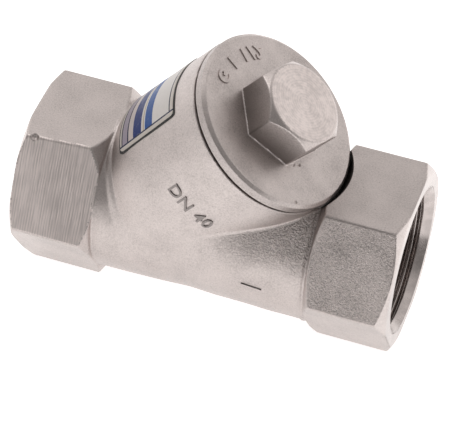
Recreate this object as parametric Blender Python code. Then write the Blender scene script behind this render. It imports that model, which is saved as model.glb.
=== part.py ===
"""A DN 40 Y strainer with threaded ends, cast in stainless steel.

The flow runs along +X, in by the left socket and out by the right one. The branch rises
from the flow axis towards the outlet, and holds a screen under a screwed cap. The strainer
stands on the lowest flats of its two hexagons, which lie on z = 0, and y = 0 is its plane
of symmetry. Sizes are in millimetres, and MM turns them into metres as vertices are made.

A place on the branch is given as (radius, depth). The depth runs outwards along the
branch's axis from the point where it crosses the flow axis.
"""
import math

import bmesh
import bpy
from mathutils import Matrix, Vector

MM = 0.001
GAP = 0.3  # between pieces that touch or lie against each other

# How finely round shapes are faceted. Threads and bores share their columns.
OUTER_SEGMENTS = 48
BORE_SEGMENTS = 32
CHAMFER_SEGMENTS = 48
LABEL_SEGMENTS = 12

# Overall size
FACE_TO_FACE = 127.0
HEX_ACROSS_FLATS = 56.0
HEX_LENGTH = 27.5
HEX_END_CIRCLE = 28.9  # radius where the chamfer of a hexagon's corners starts
HEX_CHAMFER = math.radians(30)
BARREL_RADIUS = 27.6
BARREL_WAIST = 0.7  # how much slimmer the barrel is at its middle
FLOW_HEIGHT = HEX_ACROSS_FLATS / 2

# Some upper side flats were dressed by hand, or left as cast: (offset, tilt in degrees)
# of the one towards -Y and of the one towards +Y. Both right-hand ones stand proud, and
# reach equally far out.
LEFT_DRESSING = ((-0.8, -3.8), (0.0, 0.0))
RIGHT_DRESSING = ((1.6, -2.0), (1.04, -3.93))

# End sockets, G 1 1/2 parallel pipe thread, 11 turns to the inch
PIPE_LEAD = 25.4 / 11
PIPE_MAJOR = 23.9
PIPE_MINOR = 22.42
SOCKET_DEPTH = 20.0
SOCKET_MOUTH = 24.05
SOCKET_LEAD_IN = 2.0  # how far in the countersink's cutter starts, hidden inside the bore
PASSAGE_RADIUS = 20.0

# Branch
BRANCH_TILT = math.radians(50.4)  # between the flow axis and the branch's axis
BRANCH_FOOT = -21.4  # where the two axes cross, along the flow axis
BRANCH_RADIUS = 29.8
BRANCH_ROOT = (27.0, 0.0)
BRANCH_SHOULDER = 18.0  # depth where the branch reaches its full radius
RIM_DEPTH = 55.7
CHAMBER_RADIUS = 24.0
SPOT_FACE_RADIUS = 30.2

# Web between inlet and outlet, square to the branch
WEB_TOP = 4.0
WEB_THICKNESS = 3.0
SEAT_RADIUS = 18.5
SEAT_RECESS = (21.5, 1.0)  # radius and how deep it lies below the web's top

# Cap thread, right-handed. The crests of its two halves pass clear of each other, so the
# cap can be turned off or slid straight out.
CAP_LEAD = 2.0
CAP_THREAD_LOW = 44.0
CAP_THREAD_HIGH = 53.6
CAP_CREST = 25.3
CAP_ROOT = 24.3
NECK_RADIUS = 24.1
BODY_CREST = 25.55
BODY_ROOT = 26.55
RELIEF_RADIUS = 26.8
RELIEF_LOW = 41.5
RELIEF_HIGH = 43.5

# Gasket, in its counterbore in the rim
COUNTERBORE = (28.4, 54.0)
GASKET_INNER = 26.4
GASKET_OUTER = COUNTERBORE[0] - GAP

# Cap
FLANGE_LOW = 56.2
FLANGE_RIM = 59.25  # depth where the bevel round its face starts
FLANGE_TOP = 60.2
FLANGE_RADIUS = 29.6
FACE_RADIUS = 28.45
CAP_HEX_ACROSS_FLATS = 27.0
CAP_HEX_HEIGHT = 12.5
CAP_HEX_TURN = math.radians(4)
CAP_HEX_TOP_CIRCLE = 13.05
POCKET_RADIUS = 21.5
POCKET_TOP = 54.8

# Screen
SCREEN_RADIUS = 21.1
SCREEN_INNER = 20.2
SCREEN_END_RING = 3.0  # length of each end ring
HOLE_ACROSS_FLATS = 3.2
HOLE_ROWS = 6
LINER_THICKNESS = 0.3

# Label, a curved plate on the side of the branch that faces away from the outlet
LABEL_LOW = 17.3
LABEL_HIGH = 44.8
LABEL_HALF_ANGLE = math.radians(27)
LABEL_OFFSET = math.radians(3.3)  # from the middle of that side towards -Y
LABEL_THICKNESS = 0.4

HALF_LENGTH = FACE_TO_FACE / 2
OVERSHOOT = 1.0  # how far cutters run past the faces they open
BEYOND_CORNERS = 1.2  # radius of a chamfer's blank, against that of the hexagon's corners
SAME_PLACE = 1e-7  # vertices closer than this, in metres, become one


def clear_scene():
    for obj in list(bpy.data.objects):
        bpy.data.objects.remove(obj, do_unlink=True)


def make_material(name, color, roughness, metallic):
    material = bpy.data.materials.new(name)
    material.use_nodes = True
    shader = material.node_tree.nodes["Principled BSDF"]
    shader.inputs["Base Color"].default_value = (*color, 1.0)
    shader.inputs["Roughness"].default_value = roughness
    shader.inputs["Metallic"].default_value = metallic
    return material


def make_axis(name, location, turn_about_y):
    """An empty whose +Z lies along an axis in the XZ plane."""
    axis = bpy.data.objects.new(name, None)
    axis.location = Vector(location) * MM
    axis.rotation_euler = (0.0, turn_about_y, 0.0)
    bpy.context.scene.collection.objects.link(axis)
    return axis


def make_object(name, bm, parent, material=None):
    bmesh.ops.recalc_face_normals(bm, faces=bm.faces)
    mesh = bpy.data.meshes.new(name)
    bm.to_mesh(mesh)
    bm.free()
    if material:
        mesh.materials.append(material)
        mesh.shade_smooth()
        mesh.set_sharp_from_angle(angle=math.radians(30))
    obj = bpy.data.objects.new(name, mesh)
    obj.parent = parent
    bpy.context.scene.collection.objects.link(obj)
    return obj


def make_guide(name, bm, parent):
    """A shape that only cuts or adds to another, and isn't a piece itself."""
    guide = make_object(name, bm, parent)
    guide.hide_render = True
    guide.display_type = "WIRE"
    return guide


def combine(obj, other, operation):
    boolean = obj.modifiers.new(operation.lower() + "_" + other.name, "BOOLEAN")
    boolean.operation = operation
    boolean.solver = "EXACT"
    boolean.object = other


def turned(profile, segments, start=0.0, sweep=2 * math.pi):
    """A solid turned about +Z from a closed outline of (radius, height) points."""
    bm = bmesh.new()
    spot = Matrix.Rotation(start, 3, "Z")
    verts = [bm.verts.new(spot @ Vector((r, 0.0, z)) * MM) for r, z in profile]
    whole = math.isclose(sweep, 2 * math.pi)
    if whole:
        geometry = [bm.edges.new(pair) for pair in zip(verts, verts[1:] + verts[:1])]
    else:
        geometry = [bm.faces.new(verts)]
    bmesh.ops.spin(bm, geom=verts + geometry, cent=(0, 0, 0), axis=(0, 0, 1),
                   angle=sweep, steps=segments, use_merge=whole)
    bmesh.ops.remove_doubles(bm, verts=bm.verts, dist=SAME_PLACE)
    bmesh.ops.dissolve_degenerate(bm, edges=bm.edges, dist=SAME_PLACE)
    return bm


def tube(inner, outer, low, high, segments):
    return turned([(inner, low), (outer, low), (outer, high), (inner, high)], segments)


def prism(outline, low, high):
    """A solid whose (x, y) outline is drawn out along +Z."""
    bm = bmesh.new()
    base = bm.faces.new([bm.verts.new(Vector((x, y, low)) * MM) for x, y in outline])
    top = bmesh.ops.extrude_face_region(bm, geom=[base])
    raised = [item for item in top["geom"] if isinstance(item, bmesh.types.BMVert)]
    bmesh.ops.translate(bm, verts=raised, vec=Vector((0, 0, high - low)) * MM)
    return bm


def threaded_rod(profile, core, lead, low, high):
    """A closed rod with a right-handed thread that fades to its core at both ends.

    The profile is one turn of the thread, as (share of the lead, radius) from a share of 0.
    """
    bm = bmesh.new()
    laps = math.ceil((high - low) / lead)
    columns = []
    for number in range(BORE_SEGMENTS):
        turn = number / BORE_SEGMENTS
        along = Matrix.Rotation(2 * math.pi * turn, 3, "Z")
        column = []
        for index in range(-len(profile), laps * len(profile) + 1):
            lap, point = divmod(index, len(profile))
            share, radius = profile[point]
            z = min(max(low + lead * (lap + share + turn), low), high)
            fade = min(1.0, (z - low) / (lead / 2), (high - z) / (lead / 2))
            column.append(bm.verts.new(along @ Vector((core + (radius - core) * fade, 0.0, z)) * MM))
        columns.append(column)
    top = len(columns[0]) - 1
    for number, column in enumerate(columns):
        wraps = number + 1 == BORE_SEGMENTS
        following = columns[0] if wraps else columns[number + 1]
        climb = len(profile) if wraps else 0  # a full turn climbs one lap of the profile
        for k in range(top):
            near = following[min(k + climb, top)]
            far = following[min(k + climb + 1, top)]
            corners = [column[k], near, far, column[k + 1]]
            bm.faces.new(corners[:2] + corners[3:] if near == far else corners)
    bmesh.ops.remove_doubles(bm, verts=bm.verts, dist=SAME_PLACE)
    bmesh.ops.dissolve_degenerate(bm, edges=bm.edges, dist=SAME_PLACE)
    bmesh.ops.holes_fill(bm, edges=bm.edges, sides=0)
    return bm


def regular_hexagon(across_flats, turn=0.0):
    corner = across_flats / math.sqrt(3)
    angles = [turn + math.radians(60 * k) for k in range(6)]
    return [(corner * math.cos(a), corner * math.sin(a)) for a in angles]


def dressed_hexagon(dressing):
    """A hexagon with a flat up and a flat down, whose upper side flats are dressed.

    Each flat is (angle of its normal, distance from the axis). Angles go from straight
    up, which is -X in the flow axis's own frame, towards -Y.
    """
    (near_offset, near_tilt), (far_offset, far_tilt) = dressing
    apothem = HEX_ACROSS_FLATS / 2
    near_side = (60 + near_tilt, apothem + near_offset)
    far_side = (300 - far_tilt, apothem + far_offset)
    flats = [(0, apothem), near_side, (120, apothem), (180, apothem), (240, apothem), far_side]
    corners = []
    for (first, near), (second, far) in zip(flats, flats[1:] + flats[:1]):
        first = math.radians(first)
        second = math.radians(second)
        spread = math.sin(second - first)
        up = (near * math.sin(second) - far * math.sin(first)) / spread
        across = (far * math.cos(first) - near * math.cos(second)) / spread
        corners.append((-up, -across))
    return corners


def cut_square_to_branch(bm, depth, keep_above):
    """Cut a shape in the flow axis's frame along a plane square to the branch."""
    normal = Vector((-math.sin(BRANCH_TILT), 0.0, math.cos(BRANCH_TILT)))
    point = (Vector((0.0, 0.0, BRANCH_FOOT)) + normal * depth) * MM
    everything = list(bm.verts) + list(bm.edges) + list(bm.faces)
    bmesh.ops.bisect_plane(bm, geom=everything, plane_co=point, plane_no=normal,
                           clear_inner=keep_above, clear_outer=not keep_above)
    bmesh.ops.holes_fill(bm, edges=bm.edges, sides=0)
    return bm


def hex_end(side, dressing, flow_axis):
    """One end hexagon, with its corners chamfered at both ends."""
    low, high = sorted((side * HALF_LENGTH, side * (HALF_LENGTH - HEX_LENGTH)))
    end = make_guide(f"hexagon_{side:+d}", prism(dressed_hexagon(dressing), low, high), flow_axis)
    corner = BEYOND_CORNERS * HEX_ACROSS_FLATS / math.sqrt(3)
    run = (corner - HEX_END_CIRCLE) * math.tan(HEX_CHAMFER)
    outline = [
        (0.0, low), (HEX_END_CIRCLE, low), (corner, low + run),
        (corner, high - run), (HEX_END_CIRCLE, high), (0.0, high),
    ]
    chamfer = make_guide(f"chamfer_{side:+d}", turned(outline, CHAMFER_SEGMENTS), flow_axis)
    combine(end, chamfer, "INTERSECT")
    return end


def plug(radius, low, high):
    """A plain round cutter."""
    return turned([(0.0, low), (radius, low), (radius, high), (0.0, high)], BORE_SEGMENTS)


def cut_flow_passages(body, flow_axis):
    outside = HALF_LENGTH + OVERSHOOT
    outlet = plug(PASSAGE_RADIUS, BRANCH_FOOT, outside)
    cut_square_to_branch(outlet, WEB_TOP, keep_above=True)
    combine(body, make_guide("outlet_passage", outlet, flow_axis), "DIFFERENCE")

    inlet = plug(PASSAGE_RADIUS, -outside, HALF_LENGTH / 2)
    cut_square_to_branch(inlet, WEB_TOP - WEB_THICKNESS, keep_above=False)
    combine(body, make_guide("inlet_passage", inlet, flow_axis), "DIFFERENCE")


def cut_sockets(body, flow_axis):
    """Threaded sockets at both ends, each with a countersunk mouth."""
    profile = [(0.0, PIPE_MAJOR), (1 / 3, PIPE_MINOR), (2 / 3, PIPE_MINOR)]
    bottom = HALF_LENGTH - SOCKET_DEPTH
    outside = HALF_LENGTH + OVERSHOOT
    hidden = HALF_LENGTH - SOCKET_LEAD_IN
    mouth = [
        (0.0, hidden), (SOCKET_MOUTH - SOCKET_LEAD_IN, hidden),
        (SOCKET_MOUTH + OVERSHOOT, outside), (0.0, outside),
    ]
    for name, side in (("outlet", 1), ("inlet", -1)):
        low, high = sorted((side * bottom, side * outside))
        thread = threaded_rod(profile, PIPE_MINOR, PIPE_LEAD, low, high)
        combine(body, make_guide(name + "_thread", thread, flow_axis), "DIFFERENCE")
        countersink = turned([(r, side * z) for r, z in mouth], BORE_SEGMENTS)
        combine(body, make_guide(name + "_countersink", countersink, flow_axis), "DIFFERENCE")


def cut_branch(body, branch_axis):
    """Everything cut from the branch's mouth: chamber, seat, thread, counterbore and spot face."""
    recess_radius, recess_depth = SEAT_RECESS
    far = 2 * RIM_DEPTH
    chamber = [
        (0.0, WEB_TOP - recess_depth),
        (recess_radius, WEB_TOP - recess_depth),
        (recess_radius, WEB_TOP),
        (CHAMBER_RADIUS, WEB_TOP),
        (CHAMBER_RADIUS, RELIEF_LOW),
        (RELIEF_RADIUS, RELIEF_LOW + OVERSHOOT),
        (RELIEF_RADIUS, RELIEF_HIGH),
        (CHAMBER_RADIUS, RELIEF_HIGH),
        (CHAMBER_RADIUS, COUNTERBORE[1]),
        COUNTERBORE,
        (COUNTERBORE[0], RIM_DEPTH),
        (SPOT_FACE_RADIUS, RIM_DEPTH),
        (SPOT_FACE_RADIUS, far),
        (0.0, far),
    ]
    combine(body, make_guide("chamber", turned(chamber, BORE_SEGMENTS), branch_axis), "DIFFERENCE")

    seat = plug(SEAT_RADIUS, -OVERSHOOT, WEB_TOP - recess_depth / 2)
    combine(body, make_guide("seat_opening", seat, branch_axis), "DIFFERENCE")

    profile = [(0.0, BODY_ROOT), (1 / 3, BODY_CREST), (2 / 3, BODY_CREST)]
    in_relief = (RELIEF_LOW + RELIEF_HIGH) / 2
    thread = threaded_rod(profile, BODY_CREST, CAP_LEAD, in_relief, COUNTERBORE[1] + OVERSHOOT)
    combine(body, make_guide("cap_thread", thread, branch_axis), "DIFFERENCE")


def make_body(flow_axis, branch_axis, material):
    """The casting: barrel, two end hexagons and the branch, with everything cut in it."""
    reach = HALF_LENGTH - HEX_LENGTH / 2
    barrel = [
        (0.0, -reach), (BARREL_RADIUS, -reach), (BARREL_RADIUS, -reach / 2),
        (BARREL_RADIUS - BARREL_WAIST, 0.0),
        (BARREL_RADIUS, reach / 2), (BARREL_RADIUS, reach), (0.0, reach),
    ]
    body = make_object("body_casting", turned(barrel, OUTER_SEGMENTS), flow_axis, material)
    for side, dressing in ((-1, LEFT_DRESSING), (1, RIGHT_DRESSING)):
        combine(body, hex_end(side, dressing, flow_axis), "UNION")
    branch = [
        (0.0, BRANCH_ROOT[1]), BRANCH_ROOT, (BRANCH_RADIUS, BRANCH_SHOULDER),
        (BRANCH_RADIUS, RIM_DEPTH + OVERSHOOT), (0.0, RIM_DEPTH + OVERSHOOT),
    ]
    combine(body, make_guide("branch", turned(branch, OUTER_SEGMENTS), branch_axis), "UNION")
    cut_branch(body, branch_axis)
    cut_flow_passages(body, flow_axis)
    cut_sockets(body, flow_axis)
    return body


def make_cap(branch_axis, material):
    """The screwed cap: a bevelled flange with a hexagon on it, over a hollow threaded shank."""
    flange = [
        (0.0, FLANGE_LOW), (FLANGE_RADIUS, FLANGE_LOW), (FLANGE_RADIUS, FLANGE_RIM),
        (FACE_RADIUS, FLANGE_TOP), (0.0, FLANGE_TOP),
    ]
    cap = make_object("screw_cap", turned(flange, OUTER_SEGMENTS), branch_axis, material)

    top = FLANGE_TOP + CAP_HEX_HEIGHT
    outline = regular_hexagon(CAP_HEX_ACROSS_FLATS, math.pi + CAP_HEX_TURN)
    head = make_guide("cap_hexagon", prism(outline, FLANGE_TOP - OVERSHOOT, top), branch_axis)
    corner = BEYOND_CORNERS * CAP_HEX_ACROSS_FLATS / math.sqrt(3)
    cone = [
        (0.0, 0.0), (corner, 0.0), (corner, top - (corner - CAP_HEX_TOP_CIRCLE)),
        (CAP_HEX_TOP_CIRCLE, top), (0.0, top),
    ]
    combine(head, make_guide("cap_chamfer", turned(cone, CHAMFER_SEGMENTS), branch_axis), "INTERSECT")
    combine(cap, head, "UNION")

    profile = [(0.0, CAP_CREST), (1 / 2, CAP_ROOT)]
    shank = threaded_rod(profile, CAP_ROOT, CAP_LEAD, CAP_THREAD_LOW, CAP_THREAD_HIGH)
    combine(cap, make_guide("cap_shank", shank, branch_axis), "UNION")
    neck = plug(NECK_RADIUS, CAP_THREAD_HIGH - OVERSHOOT, FLANGE_LOW + OVERSHOOT)
    combine(cap, make_guide("cap_neck", neck, branch_axis), "UNION")
    pocket = plug(POCKET_RADIUS, CAP_THREAD_LOW - OVERSHOOT, POCKET_TOP)
    combine(cap, make_guide("cap_pocket", pocket, branch_axis), "DIFFERENCE")
    return cap


def make_gasket(branch_axis, material):
    low = COUNTERBORE[1] + GAP
    ring = tube(GASKET_INNER, GASKET_OUTER, low, FLANGE_LOW - GAP, OUTER_SEGMENTS)
    return make_object("cap_gasket", ring, branch_axis, material)


def screen_holes(low, high):
    """Six-sided punches, one through every second facet of the screen, staggered by rows."""
    bm = bmesh.new()
    pitch = (high - low) / HOLE_ROWS
    outline = regular_hexagon(HOLE_ACROSS_FLATS)
    for row in range(HOLE_ROWS):
        depth = low + pitch * (row + 0.5)
        for number in range(row % 2, BORE_SEGMENTS, 2):
            punch = prism(outline, SCREEN_INNER - OVERSHOOT, SCREEN_RADIUS + OVERSHOOT)
            angle = 2 * math.pi * (number + 0.5) / BORE_SEGMENTS
            outwards = Matrix.Rotation(angle, 4, "Z") @ Matrix.Rotation(math.pi / 2, 4, "Y")
            place = Matrix.Translation((0.0, 0.0, depth * MM)) @ outwards
            bmesh.ops.transform(punch, matrix=place, verts=punch.verts)
            copy = bpy.data.meshes.new("punch")
            punch.to_mesh(copy)
            punch.free()
            bm.from_mesh(copy)
            bpy.data.meshes.remove(copy)
    return bm


def make_screen(branch_axis, perforated, woven):
    """The screen: a perforated tube between two end rings, lined with fine woven mesh."""
    bottom = WEB_TOP - SEAT_RECESS[1] + GAP
    top = POCKET_TOP - GAP
    low = bottom + SCREEN_END_RING + GAP
    high = top - SCREEN_END_RING - GAP
    seat_ring = tube(SCREEN_INNER, SCREEN_RADIUS, bottom, bottom + SCREEN_END_RING, BORE_SEGMENTS)
    make_object("screen_seat_ring", seat_ring, branch_axis, perforated)
    cap_ring = tube(SCREEN_INNER, SCREEN_RADIUS, top - SCREEN_END_RING, top, BORE_SEGMENTS)
    make_object("screen_cap_ring", cap_ring, branch_axis, perforated)

    wall = tube(SCREEN_INNER, SCREEN_RADIUS, low, high, BORE_SEGMENTS)
    screen = make_object("screen_tube", wall, branch_axis, perforated)
    combine(screen, make_guide("screen_punches", screen_holes(low, high), branch_axis), "DIFFERENCE")

    outer = SCREEN_INNER * math.cos(math.pi / BORE_SEGMENTS) - GAP
    liner = tube(outer - LINER_THICKNESS, outer, bottom + GAP, top - GAP, BORE_SEGMENTS)
    make_object("mesh_liner", liner, branch_axis, woven)


def make_label(branch_axis, material):
    inner = BRANCH_RADIUS + GAP
    outer = inner + LABEL_THICKNESS
    outline = [(inner, LABEL_LOW), (outer, LABEL_LOW), (outer, LABEL_HIGH), (inner, LABEL_HIGH)]
    start = math.pi - LABEL_HALF_ANGLE + LABEL_OFFSET
    plate = turned(outline, LABEL_SEGMENTS, start=start, sweep=2 * LABEL_HALF_ANGLE)
    return make_object("rating_label", plate, branch_axis, material)


def main():
    clear_scene()
    cast_steel = make_material("cast_stainless", (0.60, 0.58, 0.56), 0.45, 1.0)
    cap_steel = make_material("cap_stainless", (0.62, 0.60, 0.58), 0.40, 1.0)
    screen_steel = make_material("screen_stainless", (0.66, 0.66, 0.66), 0.30, 1.0)
    mesh_steel = make_material("mesh_stainless", (0.55, 0.55, 0.55), 0.40, 1.0)
    ptfe = make_material("gasket_ptfe", (0.88, 0.87, 0.84), 0.55, 0.0)
    print_film = make_material("label_film", (0.30, 0.40, 0.62), 0.35, 0.0)

    flow_axis = make_axis("flow_axis", (0.0, 0.0, FLOW_HEIGHT), math.pi / 2)
    branch_axis = make_axis("branch_axis", (BRANCH_FOOT, 0.0, FLOW_HEIGHT), math.pi / 2 - BRANCH_TILT)
    make_body(flow_axis, branch_axis, cast_steel)
    make_cap(branch_axis, cap_steel)
    make_gasket(branch_axis, ptfe)
    make_screen(branch_axis, screen_steel, mesh_steel)
    make_label(branch_axis, print_film)


main()
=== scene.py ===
"""The looks of a DN 40 Y strainer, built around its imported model.

The castings are made as fields of distance in millimetres, negative inside the metal, whose
zero surface is meshed. A field gives every cast edge its small radius and every junction its
fillet. Threads, screen, mesh, gasket and label are meshed directly.

A place on the branch is (radius, depth), with the depth measured outwards along the branch's
axis from the flow axis, and an angle that goes from the branch's uphill side towards -Y.
"""

import math
from contextlib import contextmanager
from functools import reduce

import bmesh
import bpy
import numpy as np
from mathutils import Matrix, Vector


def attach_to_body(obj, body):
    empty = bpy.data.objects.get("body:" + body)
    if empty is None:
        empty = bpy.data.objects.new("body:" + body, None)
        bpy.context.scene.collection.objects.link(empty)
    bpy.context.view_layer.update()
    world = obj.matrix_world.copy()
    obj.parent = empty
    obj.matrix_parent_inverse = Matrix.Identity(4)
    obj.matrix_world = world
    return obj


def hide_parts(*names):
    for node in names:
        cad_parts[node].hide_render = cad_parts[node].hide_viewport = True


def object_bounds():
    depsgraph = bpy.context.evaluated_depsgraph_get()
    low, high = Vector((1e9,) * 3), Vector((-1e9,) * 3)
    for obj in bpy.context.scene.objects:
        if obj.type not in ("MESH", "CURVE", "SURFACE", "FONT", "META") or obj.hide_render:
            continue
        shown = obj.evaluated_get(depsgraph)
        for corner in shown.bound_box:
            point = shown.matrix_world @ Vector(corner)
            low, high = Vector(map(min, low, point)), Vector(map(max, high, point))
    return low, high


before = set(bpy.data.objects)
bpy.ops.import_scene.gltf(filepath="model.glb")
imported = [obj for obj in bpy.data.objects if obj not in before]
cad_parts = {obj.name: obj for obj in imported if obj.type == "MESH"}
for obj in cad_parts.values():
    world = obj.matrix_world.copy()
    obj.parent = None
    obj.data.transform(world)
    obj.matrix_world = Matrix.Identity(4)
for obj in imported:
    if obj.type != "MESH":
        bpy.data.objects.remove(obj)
cad_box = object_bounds()

MM = 0.001

# Overall size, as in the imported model
HALF_LENGTH = (cad_box[1].x - cad_box[0].x) / 2 / MM
HEX_ACROSS_FLATS = 56.0
HEX_LENGTH = 27.5
HEX_END_CIRCLE = 28.9
HEX_CHAMFER = math.radians(30)
FLOW_HEIGHT = HEX_ACROSS_FLATS / 2
BARREL_RADIUS = 27.6
BARREL_WAIST = 0.7
WAIST_HALF_LENGTH = 25.0
BEAD_PLACE = 34.3
BEAD_HEIGHT = 0.35
BEAD_WIDTH = 0.6
LEFT_DRESSING = ((-0.8, -3.8), (0.0, 0.0))
RIGHT_DRESSING = ((1.6, -2.0), (1.04, -3.93))

# The bulb: the casting swells round the foot of the branch
BULB_CENTRE = (6.0, 0.0, 36.0)
BULB_TO_OUTLET = 37.0
BULB_TO_INLET = 30.0
BULB_RADIUS = 30.2

# End sockets
PIPE_LEAD = 25.4 / 11
PIPE_MAJOR = 23.9
PIPE_MINOR = 22.42
SOCKET_DEPTH = 20.0
SOCKET_MOUTH = 24.05
SOCKET_WALL = 24.6
COUNTERSINK_DEPTH = 3.0
PASSAGE_RADIUS = 20.0

# Branch
BRANCH_TILT = math.radians(50.4)
BRANCH_FOOT = -21.4
BRANCH_RADIUS = 29.8
BRANCH_ROOT = 27.0
BRANCH_SHOULDER = 18.0
RIM_DEPTH = 55.7
CHAMBER_RADIUS = 24.0
SPOT_FACE_RADIUS = 30.2
WEB_TOP = 4.0
WEB_THICKNESS = 3.0
SEAT_RADIUS = 18.5
SEAT_RECESS = (21.5, 1.0)

# Cap thread
CAP_LEAD = 2.0
CAP_THREAD_LOW = 44.0
CAP_THREAD_HIGH = 53.6
CAP_CREST = 25.3
CAP_ROOT = 24.3
BODY_CREST = 25.55
BODY_ROOT = 26.55
RELIEF_RADIUS = 26.8
RELIEF_LOW = 41.5
RELIEF_HIGH = 43.5
COUNTERBORE = (28.4, 54.0)
BRANCH_WALL = 26.9

# Gasket
GASKET = (26.4, 28.1, 54.3, 55.9)

# Cap
FLANGE_LOW = 56.2
FLANGE_RIM = 59.25
FLANGE_TOP = 60.2
FLANGE_RADIUS = 29.6
FACE_RADIUS = 28.45
CAP_HEX_ACROSS_FLATS = 27.0
CAP_HEX_HEIGHT = 12.5
CAP_HEX_TURN = math.radians(4)
CAP_HEX_TOP_CIRCLE = 13.05
POCKET_RADIUS = 21.5
POCKET_TOP = 54.8

# Screen
SCREEN_OUTER = 21.1
SCREEN_INNER = 20.2
SCREEN_LOW = 6.6
SCREEN_HIGH = 51.2
SEAT_RING = (3.3, 6.3)
CAP_RING = (51.5, 54.5)
LINER_RADIUS = 19.65

# Label
LABEL_LOW = 17.3
LABEL_HIGH = 44.8
LABEL_HALF_ANGLE = math.radians(27)
LABEL_OFFSET = 1.7
LABEL_LEAN = math.radians(2.6)
LABEL_BACK = BRANCH_RADIUS + 0.12
LABEL_FRONT = BRANCH_RADIUS + 0.3
# How far the near-black sheet under the label reaches past it: its dark glue and painted shadow of its
# raised edge
GLUE_AND_SHADOW_EDGE = 0.65

# Raised marks: angles in degrees from the uphill side towards -Y
SIZE_MARK_TURN = 84.0
SIZE_MARK_DEPTH = 34.5
SIZE_MARK_HEIGHT = 4.4
THREAD_MARK_TURN = -18.0
THREAD_MARK_RADIUS = 23.0
THREAD_MARK_HEIGHT = 4.4

# A short raised dash low on the barrel's near side: its ends, seen from the flow axis
DASH = ((15.7, 0.7), (22.4, -1.2))
# Blemishes of the casting: (x, y, z, radius) of hollows on the casting, and
# (downhill, along +Y, depth, radius) on the cap
NICKS = ((-58.6, -16.4, 56.2, 1.3),)
NICK_EDGE = 0.3
PIT_EDGE = 0.2
CAP_PITS = ((17.0, -21.9, 60.4, 0.55), (12.6, -8.9, 60.4, 0.6), (11.0, -10.6, 60.4, 0.5))

# The left hexagon's near upper flat stands proud at its outer top corner, and the chamfer of
# its inner end is steeper and longer round the corner at 30 degrees from straight up
PROUD_CORNER = 2.3
PROUD_AT_INNER_END = 0.15
DRESSED_TURN = 30.0
DRESSED_SPREAD = 45.0
DRESSED_STEEPER = math.radians(21)
DRESSED_LONGER = 0.7

# Rounding
CAST_EDGE = 0.9
HEX_EDGE = CAST_EDGE * 0.7
HEX_JOIN = 0.8
MACHINED_EDGE = 0.35
BLEND = 5.0

# The crease between branch and barrel: its rounding grows towards the inlet, where a thin
# seam also comes to stand proud in it. Each change has the places where it starts and ends.
CREASE = 0.6
LEFT_CREASE = 1.4
LEFT_CREASE_RUN = (-12.0, -24.0)
SEAM = 0.85
SEAM_RUN = (-20.0, -29.0)

# The coarse patch on the barrel grows along these runs of x and z
PATCH_ALONG = (3.0, 18.0)
PATCH_UP = (34.0, 43.0)

# Fineness
MOST_TRIANGLES = 180000
THREAD_STEP = 0.14

AXIS = Vector((math.cos(BRANCH_TILT), 0.0, math.sin(BRANCH_TILT)))
DOWNHILL = Vector((math.sin(BRANCH_TILT), 0.0, -math.cos(BRANCH_TILT)))
BRANCH_ORIGIN = Vector((BRANCH_FOOT, 0.0, FLOW_HEIGHT))


# ---------------------------------------------------------------- fields

def larger(a, b, width):
    """The larger of two distances, eased over a width: where shapes intersect."""
    overlap = np.maximum(width - np.abs(a - b), 0.0)
    return np.maximum(a, b) + overlap * overlap / (4 * width)


def smaller(a, b, width):
    """The smaller of two distances, eased over a width: where shapes join."""
    return -larger(-a, -b, width)


def inside_all(flats, width):
    """Where several flats intersect, taken in their order."""
    return reduce(lambda inside, flat: larger(inside, flat, width), flats)


def dented(skin, hollows, point, width):
    """A skin with round hollows, each given by its centre and radius."""
    for *centre, radius in hollows:
        away = sum((here - middle) ** 2 for here, middle in zip(point, centre))
        skin = larger(skin, radius - np.sqrt(away), width)
    return skin


def share_of(x, run):
    """0 before a run from one place to another, 1 past it, and even along it."""
    start, end = run
    return np.clip((x - start) / (end - start), 0, 1)


def from_branch(x, y, z):
    """Depth, radius and the uphill distance of points, seen from the branch's axis."""
    along = x - BRANCH_FOOT
    up = z - FLOW_HEIGHT
    depth = along * AXIS.x + up * AXIS.z
    uphill = -(along * DOWNHILL.x + up * DOWNHILL.z)
    return depth, np.hypot(uphill, y), uphill


def flats_of(dressing):
    """(angle of the normal from straight up towards -Y, distance) of a hexagon's flats."""
    (near_offset, near_tilt), (far_offset, far_tilt) = dressing
    apothem = HEX_ACROSS_FLATS / 2
    near_side = (60 + near_tilt, apothem + near_offset)
    far_side = (300 - far_tilt, apothem + far_offset)
    return [(0, apothem), near_side, (120, apothem), (180, apothem), (240, apothem), far_side]


def hexagon_field(x, y, z, side, dressing):
    up = z - FLOW_HEIGHT
    flats = []
    for number, (degrees, distance) in enumerate(flats_of(dressing)):
        angle = math.radians(degrees)
        flat = -y * math.sin(angle) + up * math.cos(angle) - distance
        if side < 0 and number == 1:
            outwards = np.clip((HALF_LENGTH + x) / -HEX_LENGTH + 1, 0, 1)
            outwards = PROUD_AT_INNER_END + (1 - PROUD_AT_INNER_END) * outwards
            flat = flat - PROUD_CORNER * outwards * np.clip(up / FLOW_HEIGHT, 0, 1)
        flats.append(flat)
    off_middle = np.abs(side * x - (HALF_LENGTH - HEX_LENGTH / 2)) - HEX_LENGTH / 2
    radius = np.hypot(y, up)
    chamfer = (radius - HEX_END_CIRCLE) * math.sin(HEX_CHAMFER) + off_middle * math.cos(HEX_CHAMFER)
    ends = larger(off_middle, chamfer, MACHINED_EDGE)
    if side < 0:
        turn = np.degrees(np.arctan2(-y, up))
        share = np.clip(1 - np.abs(turn - DRESSED_TURN) / DRESSED_SPREAD, 0, 1)
        slope = HEX_CHAMFER + DRESSED_STEEPER * share
        inwards = x + HALF_LENGTH - HEX_LENGTH
        circle = HEX_END_CIRCLE - DRESSED_LONGER * share
        dressed = (radius - circle) * np.sin(slope) + inwards * np.cos(slope)
        ends = larger(ends, dressed, MACHINED_EDGE)
    return larger(inside_all(flats, HEX_EDGE), ends, MACHINED_EDGE)


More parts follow.
